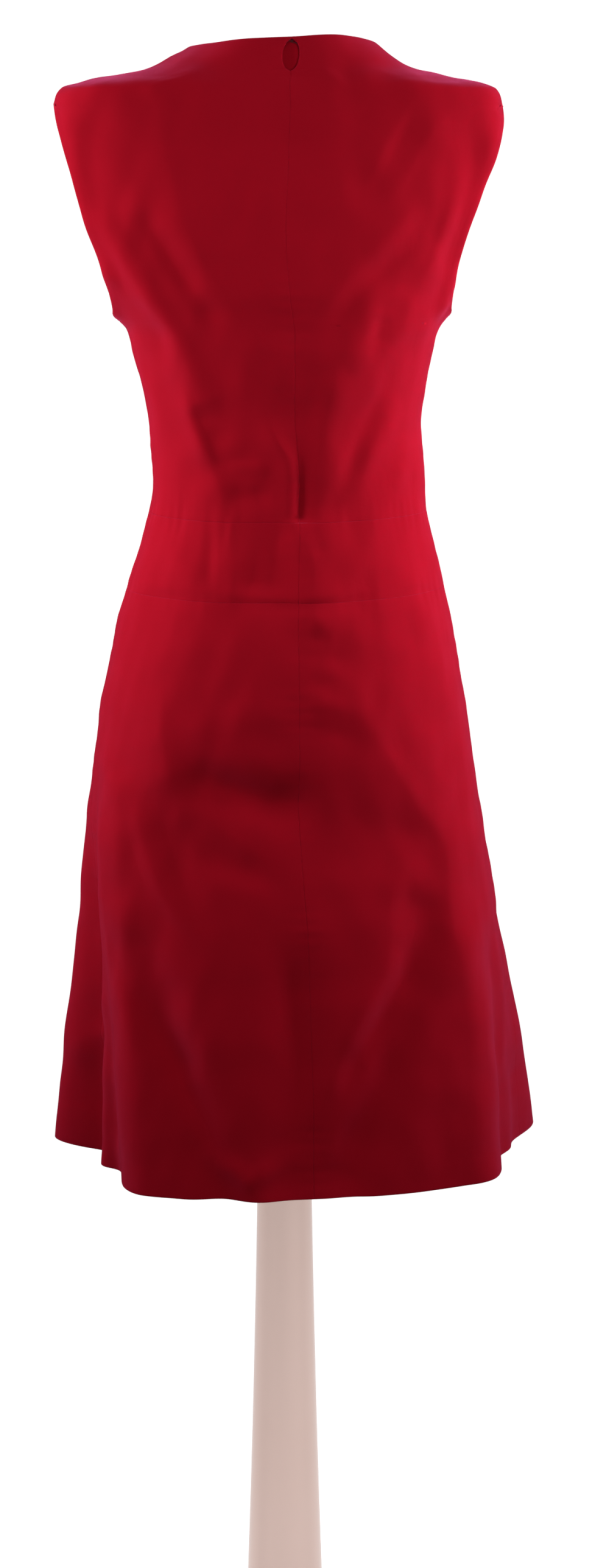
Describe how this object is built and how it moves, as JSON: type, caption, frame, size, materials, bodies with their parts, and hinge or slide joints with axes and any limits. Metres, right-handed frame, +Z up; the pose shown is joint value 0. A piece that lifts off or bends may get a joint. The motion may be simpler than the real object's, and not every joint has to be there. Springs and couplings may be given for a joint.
{
  "type": "sundress on dress form",
  "caption": "Sleeveless boat-neck A-line dress with a dropped waist band and centre-back zip, worn by a padded limbless form on a tapered metal stand.",
  "frame": {"origin": "on the floor, at the centre of the round base's underside", "axes": "+Z up along the column; the dress's centre back faces +Y, its front -Y, and the wearer's left is +X"},
  "size_m": [0.4645, 0.3066, 1.5638],
  "materials": {
    "dress_cloth": "cherry red cotton sateen, close weave with a faint sheen",
    "zip_tape": "red woven zip tape",
    "hook_metal": "dark red lacquered wire hook and eye",
    "form_jersey": "plain fine jersey stretched over the padded form",
    "stand_metal": "satin pinkish champagne metal"
  },
  "bodies": {
    "root": {"back_skirt_left": "dress_cloth", "back_skirt_right": "dress_cloth", "front_skirt": "dress_cloth", "back_midriff_left": "dress_cloth", "back_midriff_right": "dress_cloth", "front_midriff": "dress_cloth", "back_bodice_left": "dress_cloth", "back_bodice_right": "dress_cloth", "front_bodice": "dress_cloth", "centre_back_zip": "zip_tape", "neck_hook_and_eye": "hook_metal", "form_torso": "form_jersey", "form_neck_cap": "stand_metal", "form_arm_plate_left": "stand_metal", "form_arm_plate_right": "stand_metal", "stand_base": "stand_metal", "stand_collar": "stand_metal", "stand_column": "stand_metal", "stand_flange": "stand_metal"}
  },
  "joints": []
}
